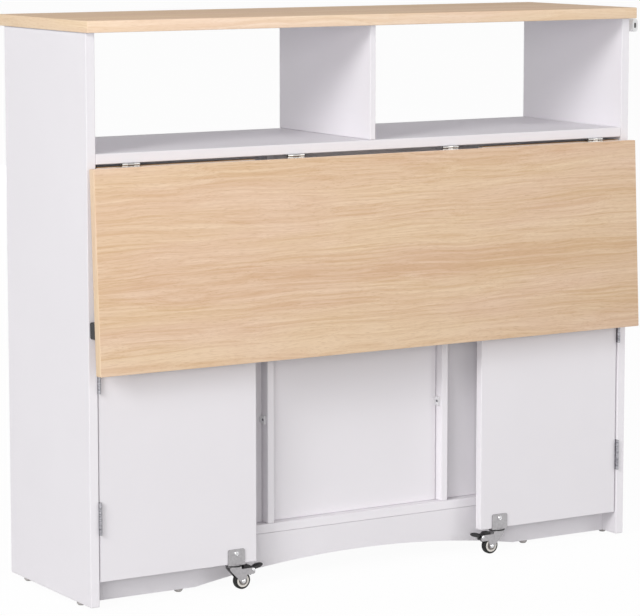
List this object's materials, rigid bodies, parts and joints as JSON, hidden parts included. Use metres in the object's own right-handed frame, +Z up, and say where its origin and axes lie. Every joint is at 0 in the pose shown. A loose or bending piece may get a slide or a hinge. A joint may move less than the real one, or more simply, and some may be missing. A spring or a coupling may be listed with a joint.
{
  "type": "kitchen island",
  "caption": "White kitchen island with an oak-look worktop, open compartments, and a hanging drop leaf that hinged gates on braked casters carry when it is raised.",
  "frame": {"origin": "under the middle of the island's box, on the floor", "axes": "+X along the island towards the towel rail, +Y from the dining side with the leaf to the kitchen side, +Z up"},
  "size_m": [1.067, 0.3337, 0.9016],
  "materials": {
    "white_board": "white melamine-faced particle board, satin",
    "oak_laminate": "oak-look laminate on particle board, satin",
    "hinge_steel": "nickel-plated steel",
    "zinc_plate": "zinc-plated steel",
    "black_plastic": "moulded black plastic",
    "black_rubber": "matt black rubber",
    "grey_plastic": "moulded grey plastic",
    "white_plastic": "moulded white plastic",
    "white_enamel": "white enamel on steel"
  },
  "bodies": {
    "carcass": {"countertop": "oak_laminate", "side_panel_left": "white_board", "side_panel_right": "white_board", "table_shelf": "white_board", "upper_divider": "white_board", "partition_left": "white_board", "partition_right": "white_board", "bottom_board": "white_board", "arched_apron": "white_board", "kitchen_plinth": "white_board", "back_panel_left": "white_board", "back_panel_centre": "white_board", "back_panel_right": "white_board", "bay_shelf_left": "white_board", "bay_shelf_centre": "white_board", "bay_shelf_right": "white_board", "panel_clip_left": "white_plastic", "panel_clip_right": "white_plastic", "glide_dining_left": "grey_plastic", "glide_dining_right": "grey_plastic", "glide_kitchen_left": "grey_plastic", "glide_kitchen_right": "grey_plastic", "glide_apron_left": "grey_plastic", "glide_apron_right": "grey_plastic", "towel_rail": "white_enamel", "leaf_hinge_1_shelf_plate": "hinge_steel", "leaf_hinge_2_shelf_plate": "hinge_steel", "leaf_hinge_3_shelf_plate": "hinge_steel", "leaf_hinge_4_shelf_plate": "hinge_steel", "gate_hinge_left_1_panel_plate": "hinge_steel", "gate_hinge_left_2_panel_plate": "hinge_steel", "gate_hinge_left_3_panel_plate": "hinge_steel", "gate_hinge_right_1_panel_plate": "hinge_steel", "gate_hinge_right_2_panel_plate": "hinge_steel", "gate_hinge_right_3_panel_plate": "hinge_steel"},
    "leaf": {"drop_leaf": "oak_laminate", "leaf_hinge_1_leaf_plate": "hinge_steel", "leaf_hinge_2_leaf_plate": "hinge_steel", "leaf_hinge_3_leaf_plate": "hinge_steel", "leaf_hinge_4_leaf_plate": "hinge_steel", "leaf_stop_left": "black_plastic", "leaf_stop_right": "black_plastic"},
    "left_gate": {"gate_left": "white_board", "gate_hinge_left_1_gate_plate": "hinge_steel", "gate_hinge_left_2_gate_plate": "hinge_steel", "gate_hinge_left_3_gate_plate": "hinge_steel", "caster_bracket_left": "zinc_plate"},
    "left_caster": {"caster_fork_left": "zinc_plate"},
    "left_wheel": {"caster_tyre_left": "black_rubber", "caster_hub_left": "grey_plastic"},
    "left_pedal": {"brake_pedal_left": "black_plastic"},
    "right_gate": {"gate_right": "white_board", "gate_hinge_right_1_gate_plate": "hinge_steel", "gate_hinge_right_2_gate_plate": "hinge_steel", "gate_hinge_right_3_gate_plate": "hinge_steel", "caster_bracket_right": "zinc_plate"},
    "right_caster": {"caster_fork_right": "zinc_plate"},
    "right_wheel": {"caster_tyre_right": "black_rubber", "caster_hub_right": "grey_plastic"},
    "right_pedal": {"brake_pedal_right": "black_plastic"}
  },
  "joints": [
    {"name": "leaf_fold", "type": "hinge", "parent": "carcass", "child": "leaf", "pos_m": [-0.0205, -0.13262, 0.6836], "axis": [-1, 0, 0], "range_deg": [0, 87]},
    {"name": "left_gate_swing", "type": "hinge", "parent": "carcass", "child": "left_gate", "pos_m": [-0.5128, -0.13142, 0.36165], "axis": [0, 0, -1], "range_deg": [0, 1.2]},
    {"name": "right_gate_swing", "type": "hinge", "parent": "carcass", "child": "right_gate", "pos_m": [0.4718, -0.13142, 0.36165], "axis": [0, 0, 1], "range_deg": [0, 1.2]},
    {"name": "left_caster_swivel", "type": "hinge", "parent": "left_gate", "child": "left_caster", "pos_m": [-0.2726, -0.11912, 0.04], "axis": [0, 0, 1], "range_deg": [-207, 27]},
    {"name": "right_caster_swivel", "type": "hinge", "parent": "right_gate", "child": "right_caster", "pos_m": [0.2316, -0.11912, 0.04], "axis": [0, 0, 1], "range_deg": [-27, 207]},
    {"name": "left_wheel_spin", "type": "hinge", "parent": "left_caster", "child": "left_wheel", "pos_m": [-0.2586, -0.11912, 0.014], "axis": [0, 1, 0], "continuous": true},
    {"name": "right_wheel_spin", "type": "hinge", "parent": "right_caster", "child": "right_wheel", "pos_m": [0.2176, -0.11912, 0.014], "axis": [0, 1, 0], "continuous": true},
    {"name": "left_pedal_press", "type": "hinge", "parent": "left_caster", "child": "left_pedal", "pos_m": [-0.2406, -0.11912, 0.0305], "axis": [0, 1, 0], "range_deg": [0, 10]},
    {"name": "right_pedal_press", "type": "hinge", "parent": "right_caster", "child": "right_pedal", "pos_m": [0.1996, -0.11912, 0.0305], "axis": [0, -1, 0], "range_deg": [0, 10]}
  ]
}
